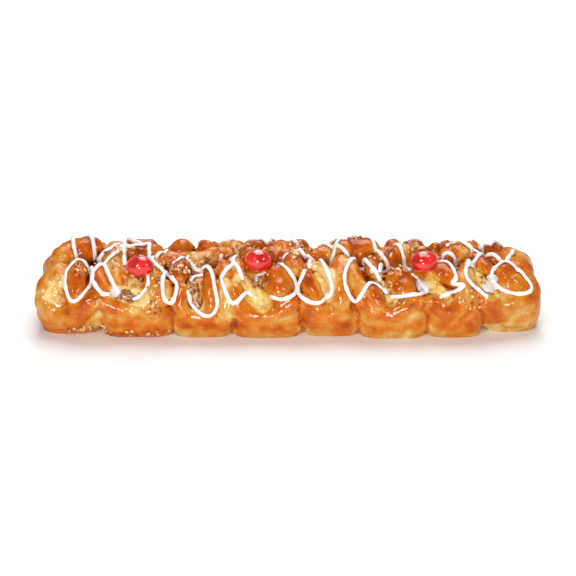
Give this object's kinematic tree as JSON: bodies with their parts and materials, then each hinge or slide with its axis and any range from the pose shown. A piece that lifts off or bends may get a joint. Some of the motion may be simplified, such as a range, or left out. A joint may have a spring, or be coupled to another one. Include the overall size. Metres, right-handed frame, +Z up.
{
  "type": "braided loaf",
  "caption": "Long filled plait of glazed yeast dough with an apple filling in its slits, white icing drizzle, chopped nuts and glazed cherries.",
  "frame": {"origin": "middle of the base, on the surface that the loaf rests on", "axes": "+X along the loaf, to the right seen from its shown side; +Y away from the shown side; +Z up"},
  "size_m": [0.411, 0.1081, 0.069],
  "materials": {
    "crust": "gloss",
    "filling": "satin",
    "cherry": "gloss",
    "icing": "gloss",
    "nut": "matte"
  },
  "bodies": {
    "root": {"bread": "crust", "filling": "filling", "cherry_left": "cherry", "cherry_middle": "cherry", "cherry_right": "cherry"}
  },
  "joints": []
}
